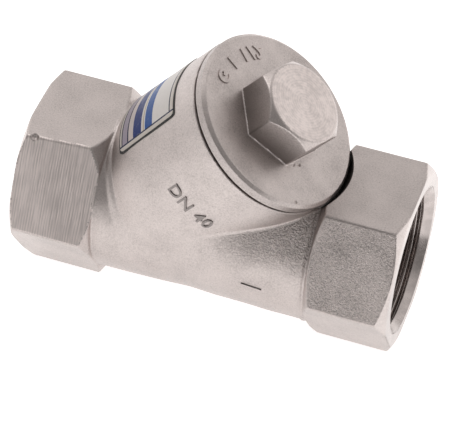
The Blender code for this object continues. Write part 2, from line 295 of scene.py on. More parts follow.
def barrel_field(x, y, z):
    """The barrel, with a bead where it meets the right hexagon, and slimmer inside both."""
    waist = 0.5 + 0.5 * np.cos(np.pi * np.clip(x / WAIST_HALF_LENGTH, -1, 1))
    ahead = np.abs(x) - (HALF_LENGTH - HEX_LENGTH)
    bead = BEAD_HEIGHT * np.exp(-((x - BEAD_PLACE) / BEAD_WIDTH) ** 2)
    outline = BARREL_RADIUS - BARREL_WAIST * waist + bead - np.clip(ahead, 0, 1.2)
    radius = np.hypot(y, z - FLOW_HEIGHT)
    return np.maximum(radius - outline, ahead - HEX_LENGTH / 2)


def bulb_field(x, y, z):
    along = x - BULB_CENTRE[0]
    along = along / np.where(along > 0, BULB_TO_OUTLET, BULB_TO_INLET)
    across = np.hypot(y - BULB_CENTRE[1], z - BULB_CENTRE[2]) / BULB_RADIUS
    reach = np.sqrt(along * along + across * across)
    return (reach - 1.0) * BULB_RADIUS


def branch_field(x, y, z):
    depth, radius, _ = from_branch(x, y, z)
    flare = math.atan((BRANCH_RADIUS - BRANCH_ROOT) / BRANCH_SHOULDER)
    cone = (radius - BRANCH_ROOT - depth * math.tan(flare)) * math.cos(flare)
    side = larger(radius - BRANCH_RADIUS, cone, 1.0)
    return larger(larger(side, depth - RIM_DEPTH, MACHINED_EDGE), -depth, MACHINED_EDGE)


def unevenness(x, y, z):
    """The slight waviness of a cast skin, at most a tenth of a millimetre."""
    first = np.sin(0.21 * x + 1.1 * np.sin(0.13 * y + 0.4)) * np.sin(0.17 * z + 0.9)
    second = np.sin(0.43 * y + 0.31 * z + 0.7) * np.sin(0.37 * x - 0.29 * z)
    return 0.05 * first + 0.04 * second


def hollow_field(x, y, z):
    """Everything inside the casting that isn't metal."""
    depth, radius, _ = from_branch(x, y, z)
    flow_radius = np.hypot(y, z - FLOW_HEIGHT)
    ahead = np.abs(x)

    def bored(limit, start):
        return np.maximum(radius - limit, start - depth)

    relief = np.maximum(bored(RELIEF_RADIUS, RELIEF_LOW), depth - RELIEF_HIGH)
    hollow = smaller(bored(CHAMBER_RADIUS, WEB_TOP), relief, MACHINED_EDGE)
    recess = (SEAT_RECESS[0], WEB_TOP - SEAT_RECESS[1])
    thread_seat = (BRANCH_WALL, RELIEF_HIGH)
    spot_face = (SPOT_FACE_RADIUS, RIM_DEPTH)
    for limit, start in (thread_seat, COUNTERBORE, recess, spot_face):
        hollow = np.minimum(hollow, bored(limit, start))

    passage = flow_radius - PASSAGE_RADIUS
    outlet = larger(np.maximum(passage, BRANCH_FOOT - x), WEB_TOP - depth, CAST_EDGE)
    inlet = larger(np.maximum(passage, x - HALF_LENGTH), depth - WEB_TOP + WEB_THICKNESS, CAST_EDGE)
    hollow = smaller(hollow, smaller(outlet, inlet, CAST_EDGE), CAST_EDGE)
    hollow = smaller(hollow, bored(SEAT_RADIUS, 0.0), MACHINED_EDGE)

    to_mouth = HALF_LENGTH - ahead
    narrowing = (flow_radius - SOCKET_MOUTH + 0.05 - to_mouth) * math.sqrt(0.5)
    socket = np.maximum(np.maximum(flow_radius - SOCKET_WALL, narrowing), to_mouth - SOCKET_DEPTH)
    return np.minimum(hollow, socket)


def casting_field(x, y, z):
    barrel = barrel_field(x, y, z)
    swollen = smaller(barrel, bulb_field(x, y, z), BLEND)
    crease = CREASE + (LEFT_CREASE - CREASE) * share_of(x, LEFT_CREASE_RUN)
    branch = branch_field(x, y, z)
    seam = np.hypot(swollen, branch) - SEAM * share_of(x, SEAM_RUN)
    skin = smaller(smaller(swollen, branch, crease), seam, 0.4) + unevenness(x, y, z)
    for side, dressing in ((-1, LEFT_DRESSING), (1, RIGHT_DRESSING)):
        skin = smaller(skin, hexagon_field(x, y, z, side, dressing), HEX_JOIN)
    skin = dented(skin, NICKS, (x, y, z), NICK_EDGE)
    skin = np.maximum(skin, -z)
    return larger(skin, -hollow_field(x, y, z), MACHINED_EDGE)


def cap_field(s, t, depth):
    """The cap above its threaded shank, in the branch's frame: s downhill, t along +Y."""
    radius = np.hypot(s, t)
    side = larger(radius - FLANGE_RADIUS, FLANGE_LOW - depth, MACHINED_EDGE)
    tilt = math.atan2(FLANGE_TOP - FLANGE_RIM, FLANGE_RADIUS - FACE_RADIUS)
    bevel = (radius - FACE_RADIUS) * math.sin(tilt) + (depth - FLANGE_TOP) * math.cos(tilt)
    body = larger(side, larger(bevel, depth - FLANGE_TOP, 0.12), 0.15)

    top = FLANGE_TOP + CAP_HEX_HEIGHT
    flats = []
    for k in range(6):
        angle = math.pi + CAP_HEX_TURN + math.radians(60 * k + 30)
        flats.append(s * math.cos(angle) + t * math.sin(angle) - CAP_HEX_ACROSS_FLATS / 2)
    cone = (radius - CAP_HEX_TOP_CIRCLE + depth - top) * math.sqrt(0.5)
    head = larger(inside_all(flats, 0.4), larger(depth - top, cone, 0.4), 0.3)
    head = np.maximum(head, FLANGE_LOW - depth)
    wave = 0.03 * np.sin(0.5 * s + 0.8) * np.sin(0.45 * t)
    cap = smaller(body, head, 0.5)
    return dented(cap, CAP_PITS, (s, t, depth), PIT_EDGE) + np.abs(wave)


# ---------------------------------------------------------------- meshing

def unit(vectors):
    return vectors / np.maximum(np.linalg.norm(vectors, axis=1, keepdims=True), 1e-9)


def gradient(field, points, reach=0.04):
    slopes = np.empty_like(points)
    for k in range(3):
        step = np.zeros(3)
        step[k] = reach
        slopes[:, k] = (field(*(points + step).T) - field(*(points - step).T)) / (2 * reach)
    return slopes


def onto_surface(field, points, rounds):
    for _ in range(rounds):
        slopes = gradient(field, points)
        steepness = np.maximum((slopes * slopes).sum(1), 0.2)
        move = -(field(*points.T) / steepness)[:, None] * slopes
        length = np.linalg.norm(move, axis=1, keepdims=True)
        points = points + move * np.minimum(1.0, 0.4 / np.maximum(length, 1e-9))
    return points


def surface_net(field, low, high, step):
    """Points and outward four-sided faces where a field crosses zero."""
    low = np.array(low, float)
    counts = np.ceil((np.array(high) - low) / step).astype(int) + 1
    lines = [(low[k] + step * np.arange(counts[k])).astype(np.float32) for k in range(3)]
    values = field(*np.meshgrid(*lines, indexing="ij"))
    solid = values < 0

    corners = np.zeros(counts - 1, np.int8)
    for i, j, k in np.ndindex(2, 2, 2):
        corners += solid[i:counts[0] - 1 + i, j:counts[1] - 1 + j, k:counts[2] - 1 + k]
    cells = np.argwhere((corners > 0) & (corners < 8))
    number = np.full(counts - 1, -1, np.int64)
    number[tuple(cells.T)] = np.arange(len(cells))

    total = np.zeros((len(cells), 3))
    hits = np.zeros(len(cells))
    for axis in range(3):
        onward = np.eye(3, dtype=int)[axis]
        for first, second in np.ndindex(2, 2):
            start = cells.copy()
            start[:, (axis + 1) % 3] += first
            start[:, (axis + 2) % 3] += second
            here = values[tuple(start.T)]
            there = values[tuple((start + onward).T)]
            crossed = (here < 0) != (there < 0)
            share = here[crossed] / (here[crossed] - there[crossed])
            total[crossed] += start[crossed] + share[:, None] * onward
            hits[crossed] += 1
    points = low + step * total / hits[:, None]

    faces = []
    for axis in range(3):
        across, beyond = (np.eye(3, dtype=int)[(axis + k) % 3] for k in (1, 2))
        near = [slice(None)] * 3
        far = [slice(None)] * 3
        near[axis] = slice(0, -1)
        far[axis] = slice(1, None)
        edges = np.argwhere(solid[tuple(near)] != solid[tuple(far)])
        beside = [edges - a * across - b * beyond for a, b in ((1, 1), (0, 1), (0, 0), (1, 0))]
        quad = np.stack([number[tuple(cell.T)] for cell in beside], 1)
        inwards = ~solid[tuple(edges.T)]
        quad[inwards] = quad[inwards][:, ::-1]
        faces.append(quad)
    return points, np.concatenate(faces)


def link_piece(name, data):
    piece = bpy.data.objects.new(name, data)
    bpy.context.scene.collection.objects.link(piece)
    return piece


def read(items, attribute, width=3, kind=float):
    """An attribute of a mesh's vertices, corners or faces, with a row for each."""
    values = np.empty(len(items) * width, kind)
    items.foreach_get(attribute, values)
    return values.reshape(-1, width)


def move_vertices(mesh, points):
    mesh.vertices.foreach_set("co", points.astype(np.float32).ravel())
    mesh.update()


@contextmanager
def editing(mesh):
    bm = bmesh.new()
    bm.from_mesh(mesh)
    yield bm
    bm.to_mesh(mesh)
    bm.free()


def mesh_from_arrays(name, points, faces):
    """A mesh from points in metres and an array of faces with equally many corners."""
    sides = faces.shape[1]
    mesh = bpy.data.meshes.new(name)
    mesh.vertices.add(len(points))
    mesh.vertices.foreach_set("co", points.astype(np.float32).ravel())
    mesh.loops.add(faces.size)
    mesh.loops.foreach_set("vertex_index", faces.astype(np.int32).ravel())
    mesh.polygons.add(len(faces))
    mesh.polygons.foreach_set("loop_start", np.arange(0, faces.size, sides, dtype=np.int32))
    mesh.update(calc_edges=True)
    mesh.validate()
    mesh.shade_smooth()
    return mesh


def thinned(mesh):
    """A mesh with no more triangles than allowed, thinned where it is flattest."""
    triangles = sum(len(face.vertices) - 2 for face in mesh.polygons)
    if triangles <= MOST_TRIANGLES:
        return mesh
    holder = link_piece("thinning", mesh)
    modifier = holder.modifiers.new("thin", "DECIMATE")
    modifier.ratio = MOST_TRIANGLES / triangles
    evaluated = holder.evaluated_get(bpy.context.evaluated_depsgraph_get())
    result = bpy.data.meshes.new_from_object(evaluated)
    bpy.data.objects.remove(holder)
    return result


def smooth_by_field(mesh, field):
    """Normals from the field. Beside a rounded edge they are read a little way into the face."""
    points = onto_surface(field, read(mesh.vertices, "co"), 1)
    move_vertices(mesh, points)

    corner_vertex = read(mesh.loops, "vertex_index", 1, np.int32)[:, 0]
    sizes = read(mesh.polygons, "loop_total", 1, np.int32)[:, 0]
    corner_face = np.repeat(np.arange(len(sizes)), sizes)
    centres = read(mesh.polygons, "center")[corner_face]
    flat = read(mesh.polygons, "normal")[corner_face]

    normals = unit(gradient(field, points))[corner_vertex]
    inwards = centres - points[corner_vertex]
    reach = np.linalg.norm(inwards, axis=1, keepdims=True)
    moved = points[corner_vertex] + inwards * np.minimum(0.6, 0.7 / np.maximum(reach, 1e-6))
    inside = unit(gradient(field, moved))
    bent = (normals * flat).sum(1) < math.cos(math.radians(9))
    level = (inside * flat).sum(1) > math.cos(math.radians(0.4))
    normals[bent | level] = inside[bent | level]
    mesh.normals_split_custom_set(normals.astype(np.float32))


def placed(mesh, in_branch_frame):
    """Moves a mesh from millimetres to its place in metres."""
    if in_branch_frame:
        turn = Matrix((DOWNHILL, (0.0, 1.0, 0.0), AXIS)).transposed().to_4x4()
        mesh.transform(Matrix.Scale(MM, 4) @ Matrix.Translation(BRANCH_ORIGIN) @ turn)
    else:
        mesh.transform(Matrix.Scale(MM, 4))
    return mesh


def cast_piece(name, field, low, high, step, in_branch_frame):
    points, faces = surface_net(field, low, high, step)
    points = onto_surface(field, points, 2)
    mesh = thinned(mesh_from_arrays(name, points, faces))
    smooth_by_field(mesh, field)
    return link_piece(name, placed(mesh, in_branch_frame))


def ring_faces(segments, count, closed=True):
    """Faces of a closed outline of count points carried past segments places."""
    around = np.arange(segments)[:, None] * count
    following = np.roll(around, -1, axis=0)
    if not closed:
        around = around[:-1]
        following = following[:-1]
    here = np.arange(count)[None, :]
    nxt = (here + 1) % count
    return np.stack([around + here, following + here, following + nxt, around + nxt], 2).reshape(-1, 4)


def finished(name, mesh, sharp, in_branch_frame=True):
    """A piece from a mesh in millimetres, whose edges above an angle in degrees stay sharp."""
    with editing(mesh) as bm:
        bmesh.ops.recalc_face_normals(bm, faces=bm.faces)
    mesh.set_sharp_from_angle(angle=math.radians(sharp))
    return link_piece(name, placed(mesh, in_branch_frame))


def turned_piece(name, radii, heights, sharp=28, in_branch_frame=True):
    """A closed ring from arrays of radius and height, one row for each step of the turn."""
    segments, count = radii.shape
    turns = np.arange(segments) * 2 * math.pi / segments
    points = np.stack([radii * np.cos(turns)[:, None], radii * np.sin(turns)[:, None], heights], 2)
    mesh = mesh_from_arrays(name, points.reshape(-1, 3), ring_faces(segments, count))
    return finished(name, mesh, sharp, in_branch_frame)


def lathe(name, outline, segments=128):
    """A closed (radius, height) outline turned about the branch's axis."""
    radii, heights = np.tile(np.array(outline, float), (segments, 1, 1)).transpose(2, 0, 1)
    return turned_piece(name, radii, heights)


def thread_wave(turn, height, lead):
    """How deep a 55 or 60 degree thread is, from 0 on its crest to 1 at its root, both rounded."""
    share = (height / lead - turn / (2 * math.pi)) % 1.0
    ramp = np.clip((np.abs(2 * share - 1) - 0.06) / 0.88, 0.0, 1.0)
    return ramp * ramp * (3 - 2 * ramp)


def threaded_ring(bore, outside, low, high, segments=144):
    """Radii and heights of a ring whose bore and outside are functions of (turn, height)."""
    rows = int(math.ceil((high - low) / THREAD_STEP)) + 1
    line = np.linspace(low, high, rows)
    turn, height = np.meshgrid(np.arange(segments) * 2 * math.pi / segments, line, indexing="ij")
    radii = np.concatenate([bore(turn, height), outside(turn, height)[:, ::-1]], 1)
    heights = np.concatenate([height, height[:, ::-1]], 1)
    return radii, heights


def fade(height, low, high, run):
    return np.clip(np.minimum(height - low, high - height) / run, 0.0, 1.0)


def make_socket_thread(name, side):
    """The threaded wall of a socket, along +Z of a frame that is then turned to the flow axis."""
    low = HALF_LENGTH - SOCKET_DEPTH - 0.2
    high = HALF_LENGTH - 0.02

    def bore(turn, height):
        cut = fade(height, low + 0.6, high - COUNTERSINK_DEPTH + 0.6, 0.7)
        depth = thread_wave(-side * turn, height, PIPE_LEAD) * cut
        thread = PIPE_MINOR + (PIPE_MAJOR - PIPE_MINOR) * depth
        slope = (SOCKET_MOUTH - PIPE_MINOR) / COUNTERSINK_DEPTH
        return np.maximum(thread, SOCKET_MOUTH - (high - height) * slope)

    def outside(turn, height):
        return np.minimum(SOCKET_WALL + 0.1, SOCKET_MOUTH + 0.06 + (high - height))

    radii, heights = threaded_ring(bore, outside, low, high)
    piece = turned_piece(name, radii, heights, sharp=50, in_branch_frame=False)
    turn = Matrix.Rotation(side * math.pi / 2, 4, "Y")
    piece.data.transform(Matrix.Translation((0, 0, FLOW_HEIGHT * MM)) @ turn)
    return piece


def make_branch_thread():
    low = RELIEF_HIGH - 0.2
    high = COUNTERBORE[1] - 0.02

    def bore(turn, height):
        depth = thread_wave(turn, height, CAP_LEAD)
        thread = BODY_CREST + (BODY_ROOT - BODY_CREST) * depth
        return np.maximum(thread, BODY_ROOT - (high - height))

    def outside(turn, height):
        return np.full_like(height, BRANCH_WALL + 0.1)

    radii, heights = threaded_ring(bore, outside, low, high)
    return turned_piece("branch_thread", radii, heights)


def make_cap_shank():
    """The cap's threaded shank and neck, hollow from below."""
    low = CAP_THREAD_LOW
    high = FLANGE_LOW + 0.3

    def bore(turn, height):
        return np.where(height < POCKET_TOP, POCKET_RADIUS, 0.02)

    def outside(turn, height):
        rise = 1 - thread_wave(turn, height + CAP_LEAD / 2, CAP_LEAD)
        rise = rise * fade(height, low, CAP_THREAD_HIGH, 1.0)
        chamfer = CAP_CREST - 1.2 + (height - low)
        return np.minimum(CAP_ROOT + (CAP_CREST - CAP_ROOT) * rise, chamfer)

    radii, heights = threaded_ring(bore, outside, low, high)
    return turned_piece("cap_shank", radii, heights)


def bevelled(inner, outer, low, high, bevel):
    """The outline of a flat ring with bevelled edges."""
    return [
        (inner, low + bevel), (inner + bevel, low), (outer - bevel, low), (outer, low + bevel),
        (outer, high - bevel), (outer - bevel, high), (inner + bevel, high), (inner, high - bevel),
    ]


def make_screen_tube(around=42, rows=16, hole=1.05):
    """A tube of staggered round holes, laid out flat as bricks with a hole each and rolled up."""
    pitch = 2 * math.pi / around
    rise = (SCREEN_HIGH - SCREEN_LOW) / rows
    size = np.array((pitch * (SCREEN_OUTER + SCREEN_INNER) / 2, rise))
    bottom = [(across, -1.0) for across in range(-2, 3)]
    top = [(across, 1.0) for across in range(2, -3, -1)]
    rim = np.array([*bottom, (2.0, 0.0), *top, (-2.0, 0.0)])
    brick = rim * (0.25, 0.5)
    circle = unit(brick * size) * hole / size
    outline = np.concatenate([brick, circle, brick, circle])

    count = len(rim)
    radii = np.repeat([SCREEN_OUTER, SCREEN_INNER], 2 * count)
    here = np.arange(count)
    nxt = (here + 1) % count
    out_rim, out_hole, in_rim, in_hole = np.stack([here, nxt]) + count * np.arange(4)[:, None, None]
    outside = (*out_rim, *out_hole[::-1])
    inside = (*in_rim[::-1], *in_hole)
    wall = (*out_hole, *in_hole[::-1])
    brick_faces = np.concatenate([np.stack(part, 1) for part in (outside, inside, wall)])
    end_faces = np.stack((*out_rim[::-1], *in_rim), 1)
    points = []
    faces = []
    for row, number in np.ndindex(rows, around):
        turn = (number + 0.5 * (row % 2) + outline[:, 0]) * pitch
        height = SCREEN_LOW + (row + 0.5 + outline[:, 1]) * rise
        start = len(points) * len(outline)
        points.append(np.stack([radii * np.cos(turn), radii * np.sin(turn), height], 1))
        faces.append(brick_faces + start)
        for end_row, edge in ((0, -1), (rows - 1, 1)):
            if row == end_row:
                at_end = (rim[here, 1] == edge) & (rim[nxt, 1] == edge)
                faces.append(end_faces[at_end] + start)
    mesh = mesh_from_arrays("screen", np.concatenate(points), np.concatenate(faces))
    with editing(mesh) as bm:
        bmesh.ops.remove_doubles(bm, verts=bm.verts, dist=0.01)
    return finished("perforated_screen", mesh, sharp=35)


def wire(path, radius, closed, sides=4):
    """Points and faces of a thin wire along a path of points."""
    ahead = np.roll(path, -1, 0) - np.roll(path, 1, 0)
    if not closed:
        ahead[0] = path[1] - path[0]
        ahead[-1] = path[-1] - path[-2]
    outwards = unit(path * (1, 1, 0))
    across = np.cross(unit(ahead), outwards)
    turns = np.arange(sides) * 2 * math.pi / sides
    rings = (path[:, None] + radius * (np.cos(turns)[None, :, None] * outwards[:, None]
                                       + np.sin(turns)[None, :, None] * across[:, None]))
    faces = np.roll(ring_faces(len(path), sides, closed)[:, ::-1], 1, axis=1)
    return rings.reshape(-1, 3), faces


def make_mesh_liner():
    """Plain woven wire cloth, rolled into a sleeve inside the screen."""
    warps = 84
    wefts = 34
    wave = 0.13
    thick = 0.12
    low = SEAT_RING[0] + 0.5
    high = CAP_RING[1] - 0.5
    points = []
    faces = []

    def add(path, closed):
        some, more = wire(path, thick, closed)
        faces.append(more + sum(len(part) for part in points))
        points.append(some)

    heights = np.linspace(low, high, 2 * wefts + 1)
    for number in range(warps):
        turn = 2 * math.pi * number / warps
        weave = np.cos(np.pi * (np.arange(len(heights)) - 1) / 2 + math.pi * number)
        radius = LINER_RADIUS + wave * weave * (np.arange(len(heights)) % 2)
        add(np.stack([radius * math.cos(turn), radius * math.sin(turn), heights], 1), closed=False)
    turns = np.arange(2 * warps) * math.pi / warps
    for number in range(wefts):
        weave = np.cos(np.pi * np.arange(len(turns)) / 2 + math.pi * number)
        radius = LINER_RADIUS - wave * weave * ((np.arange(len(turns)) + 1) % 2)
        height = np.full(len(turns), heights[2 * number + 1])
        add(np.stack([radius * np.cos(turns), radius * np.sin(turns), height], 1), closed=True)
    mesh = mesh_from_arrays("liner", np.concatenate(points), np.concatenate(faces))
    return link_piece("woven_liner", placed(mesh, in_branch_frame=True))


def make_casting():
    margin = 1.5
    reach = HEX_ACROSS_FLATS * 0.6 + margin
    low = (-HALF_LENGTH - margin, -reach, -margin)
    high = (HALF_LENGTH + margin, reach, cad_box[1].z / MM)
    step = 0.5
    return cast_piece("cast_body", casting_field, low, high, step, in_branch_frame=False)


def make_cap():
    margin = 1.0
    reach = BRANCH_RADIUS + margin
    low = (-reach, -reach, FLANGE_LOW - margin)
    high = (reach, reach, FLANGE_TOP + CAP_HEX_HEIGHT + margin)
    step = 0.36
    return cast_piece("cap_top", cap_field, low, high, step, in_branch_frame=True)


def skin_point(turn, depth, radius):
    """A place about the branch, in its frame."""
    return (-radius * np.cos(turn), -radius * np.sin(turn), depth)


def make_label(name, inner, outer, grown):
    """A thin plate with rounded corners, bent round the branch, and grown at its edges."""
    columns = 64
    rows = 12
    corner = 1.2
    half_width = LABEL_HALF_ANGLE * BRANCH_RADIUS + grown
    half_length = (LABEL_HIGH - LABEL_LOW) / 2 + grown
    across = np.linspace(-half_width, half_width, columns + 1)[:, None]
    to_corner = np.maximum(corner - half_width + np.abs(across), 0.0)
    cut = corner - np.sqrt(corner ** 2 - to_corner ** 2)
    along = (half_length - cut) * np.linspace(-1, 1, rows + 1)
    turned = across * math.cos(LABEL_LEAN) - along * math.sin(LABEL_LEAN) + LABEL_OFFSET
    turn = turned / BRANCH_RADIUS
    depth = (LABEL_LOW + LABEL_HIGH) / 2 + along * math.cos(LABEL_LEAN) + across * math.sin(LABEL_LEAN)
    sheets = [np.stack(skin_point(turn, depth, radius), 2) for radius in (outer, inner)]

    number = np.arange(turn.size).reshape(turn.shape)
    corners = [number[:-1, :-1], number[1:, :-1], number[1:, 1:], number[:-1, 1:]]
    front = np.stack(corners, 2).reshape(-1, 4)
    border = np.concatenate([number[:, 0], number[-1, 1:], number[-2::-1, -1], number[0, -2:0:-1]])
    following = np.roll(border, -1)
    edges = np.stack([border, turn.size + border, turn.size + following, following], 1)
    faces = np.concatenate([front, turn.size + front[:, ::-1], edges])
    mesh = mesh_from_arrays(name, np.concatenate(sheets).reshape(-1, 3), faces)
    return finished(name, mesh, sharp=40)


def lettering(name, text, height, spacing, bolder):
    """Flat letters as a finely divided mesh, in millimetres, centred on the origin."""
    curve = bpy.data.curves.new(name, "FONT")
    curve.body = text
    curve.align_x = "CENTER"
    curve.align_y = "CENTER"
    curve.size = height / 0.7
    curve.space_character = spacing
    curve.extrude = 0.5
    curve.offset = bolder * height
    curve.resolution_u = 4
    holder = link_piece(name, curve)
    evaluated = holder.evaluated_get(bpy.context.evaluated_depsgraph_get())
    mesh = bpy.data.meshes.new_from_object(evaluated)
    bpy.data.objects.remove(holder)
    bpy.data.curves.remove(curve)
    with editing(mesh) as bm:
        bmesh.ops.remove_doubles(bm, verts=bm.verts, dist=0.001)
        bmesh.ops.triangulate(bm, faces=bm.faces)
        long_edges = [edge for edge in bm.edges if edge.calc_length() > 0.8]
        bmesh.ops.subdivide_edges(bm, edges=long_edges, cuts=2)
    return mesh


def bent_lettering(name, text, height, spacing, bolder, bend, proud):
    """Letters laid on a surface: bend(u, v, lift) gives a point from a place in the text."""
    mesh = lettering(name, text, height, spacing, bolder)
    bent = [bend(u, v, proud if w > 0 else -0.4) for u, v, w in read(mesh.vertices, "co")]
    move_vertices(mesh, np.array(bent))
    mesh.shade_smooth()
    return finished(name, mesh, sharp=35)


def make_size_mark():
    """The nominal size, cast in raised figures round the branch."""
    middle_turn = math.radians(SIZE_MARK_TURN)

    def bend(u, v, lift):
        return skin_point(middle_turn + u / BRANCH_RADIUS, SIZE_MARK_DEPTH + v, BRANCH_RADIUS + lift)

    return bent_lettering("size_mark", "DN 40", SIZE_MARK_HEIGHT, 1.05, 0.015, bend, 0.3)


def make_thread_mark():
    """The thread size, in raised figures on an arc of the cap's face, their tops inwards."""
    middle_turn = math.radians(THREAD_MARK_TURN)

    def bend(u, v, lift):
        turn = middle_turn - u / THREAD_MARK_RADIUS
        return skin_point(turn, FLANGE_TOP + lift, THREAD_MARK_RADIUS - v)

    return bent_lettering("thread_mark", "G 1 1/2", THREAD_MARK_HEIGHT, 1.25, 0.04, bend, 0.35)


def make_dash():
    """A short raised dash on the barrel."""
    (first_x, first_up), (last_x, last_up) = DASH
    length = math.hypot(last_x - first_x, last_up - first_up)
    lean = math.atan2(last_up - first_up, last_x - first_x)
    steps = 12
    outline = []
    for share in np.linspace(-1, 1, steps + 1):
        outline.append((share * length / 2, 0.28 * math.sqrt(max(0.0, 1 - share ** 6))))
    sections = []
    lifts = []
    for u, half in outline:
        for v, lift in ((-half, -0.5), (-half, 0.12), (0.0, 0.35), (half, 0.12), (half, -0.5)):
            x = (first_x + last_x) / 2 + u * math.cos(lean) - v * math.sin(lean)
            up = (first_up + last_up) / 2 + u * math.sin(lean) + v * math.cos(lean)
            sections.append((x, -BULB_RADIUS, FLOW_HEIGHT + up))
            lifts.append(lift)
    sections = onto_surface(casting_field, np.array(sections), 8)
    sections = sections + unit(gradient(casting_field, sections)) * np.array(lifts)[:, None]
    faces = ring_faces(steps + 1, len(sections) // (steps + 1), closed=False)
    mesh = mesh_from_arrays("dash", sections, np.roll(faces[:, ::-1], 1, axis=1))
    return finished("casting_dash", mesh, sharp=50, in_branch_frame=False)


# ---------------------------------------------------------------- materials

STEEL = (0.575, 0.514, 0.492)


def fill(node, values):
    """Sets a node's inputs, by name or number, to plain values or to other nodes' outputs."""
    for key, value in values.items():
        if isinstance(value, bpy.types.NodeSocket):
            node.id_data.links.new(value, node.inputs[key])
        else:
            node.inputs[key].default_value = value


def add_node(tree, kind, values, **settings):
    node = tree.nodes.new("ShaderNode" + kind)
    for name, value in settings.items():
        setattr(node, name, value)
    fill(node, values)
    return node


def map_range(tree, value, low, high, to_low, to_high, interpolation="LINEAR"):
    values = {"Value": value, "From Min": low, "From Max": high, "To Min": to_low, "To Max": to_high}
    return add_node(tree, "MapRange", values, interpolation_type=interpolation).outputs["Result"]


class Paint:
    """A material's node tree, with short calls for the nodes that are used here."""

    def __init__(self, name, roughness, metallic):
        self.material = bpy.data.materials.new(name)
        self.material.use_nodes = True
        self.tree = self.material.node_tree
        self.shader = self.tree.nodes["Principled BSDF"]
        fill(self.shader, {"Roughness": roughness, "Metallic": metallic})
        self.place = add_node(self.tree, "TexCoord", {}).outputs["Object"]

    def stretched(self, scale):
        values = {"Vector": self.place, "Scale": scale}
        return add_node(self.tree, "Mapping", values).outputs["Vector"]

    def from_branch(self):
        """Radius and depth seen from the branch's axis, in metres."""
        def vector(operation, *values):
            inputs = dict(enumerate(values))
            return add_node(self.tree, "VectorMath", inputs, operation=operation).outputs

        arm = vector("SUBTRACT", self.place, BRANCH_ORIGIN * MM)["Vector"]
        across = vector("CROSS_PRODUCT", arm, AXIS)["Vector"]
        return vector("LENGTH", across)["Value"], vector("DOT_PRODUCT", arm, AXIS)["Value"]

    def split(self):
        node = add_node(self.tree, "SeparateXYZ", {0: self.place})
        return [node.outputs[axis] for axis in "XYZ"]

    def noise(self, size, detail=2.0, roughness=0.5, place=None):
        """Noise whose lumps are about size millimetres across, from 0 to 1."""
        values = {"Scale": 1 / (size * MM), "Detail": detail, "Roughness": roughness}
        values["Vector"] = place or self.place
        return add_node(self.tree, "TexNoise", values).outputs["Fac"]

    def spots(self, size, share):
        """1 in scattered round spots about size across, over a small share of the surface."""
        node = add_node(self.tree, "TexVoronoi", {"Scale": 1 / (size * MM), "Vector": self.place})
        return self.ranged(node.outputs["Distance"], share, share * 0.5, 0.0, 1.0)

    def math(self, operation, first, second=0.0):
        return add_node(self.tree, "Math", {0: first, 1: second}, operation=operation).outputs["Value"]

    def times(self, first, second):
        return self.math("MULTIPLY", first, second)

    def plus(self, first, second):
        return self.math("ADD", first, second)

    def minus(self, first, second):
        return self.math("SUBTRACT", first, second)

    def ranged(self, value, low, high, to_low, to_high):
        return map_range(self.tree, value, low, high, to_low, to_high)

    def past(self, value, low, high):
        """0 at low and 1 at high, in millimetres, of a value in metres. Either end may be first."""
        return self.ranged(value, low * MM, high * MM, 0.0, 1.0)

    def ramp(self, value, stops, steps=False):
        node = add_node(self.tree, "ValToRGB", {"Fac": value})
        node.color_ramp.interpolation = "CONSTANT" if steps else "LINEAR"
        elements = node.color_ramp.elements
        while len(elements) < len(stops):
            elements.new(0.5)
        for element, (position, colour) in zip(elements, stops):
            element.position = position
            element.color = (*colour, 1.0)
        return node.outputs["Color"]

    def mixed(self, share, first, second):
        first, second = ((*end, 1.0) if isinstance(end, tuple) else end for end in (first, second))
        values = {"Factor": share, 6: first, 7: second}
        return add_node(self.tree, "Mix", values, data_type="RGBA").outputs[2]

    def colour(self, output):
        fill(self.shader, {"Base Color": output})

    def roughness(self, output):
        fill(self.shader, {"Roughness": output})

    def bump(self, height, tall):
        """Bumps up to tall millimetres high, from a height that goes from 0 to 1."""
        node = add_node(self.tree, "Bump", {"Strength": 1.0, "Distance": tall * MM, "Height": height})
        fill(self.shader, {"Normal": node.outputs["Normal"]})


def scaled(colour, factor):
    return tuple(channel * factor for channel in colour)


def roughen_patch(paint, shade, height, colour, patch):
    """Coarser grain on the barrel between branch and outlet, patch times as high."""
    radius, _ = paint.from_branch()
    x, _, z = paint.split()
    neck = HALF_LENGTH - HEX_LENGTH
    clear = BRANCH_RADIUS + 0.2
    coarse = paint.ranged(paint.noise(0.62, 2.0, 0.6), 0.36, 0.62, 1.0, 0.0)
    for value, run in ((x, PATCH_ALONG), (x, (neck + 0.2, neck - 0.3)), (z, PATCH_UP),
                       (radius, (clear, clear + 0.8))):
        coarse = paint.times(coarse, paint.past(value, *run))
    shade = paint.mixed(paint.times(coarse, 0.55), shade, scaled(colour, 0.4))
    return shade, paint.minus(height, paint.times(coarse, patch))


def paint_spot_face_shadow(paint, shade, colour):
    """Painted shadow: the wall that the spot face leaves beside the cap is painted near black."""
    radius, depth = paint.from_branch()
    wall = SPOT_FACE_RADIUS + 0.12
    inside = paint.past(radius, wall + 0.1, wall)
    above = paint.past(depth, RIM_DEPTH + 0.3, RIM_DEPTH + 0.6)
    return paint.mixed(paint.times(inside, above), shade, scaled(colour, 0.04))


def paint_foot_shade(paint, shade, colour, foot_shade):
    """Painted shade: the foot of the cap's hexagon, by the flange, is painted darker than its top."""
    _, depth = paint.from_branch()
    low = FLANGE_TOP + 1
    high = FLANGE_TOP + CAP_HEX_HEIGHT - 1
    return paint.mixed(paint.past(depth, high, low), shade, scaled(colour, foot_shade))


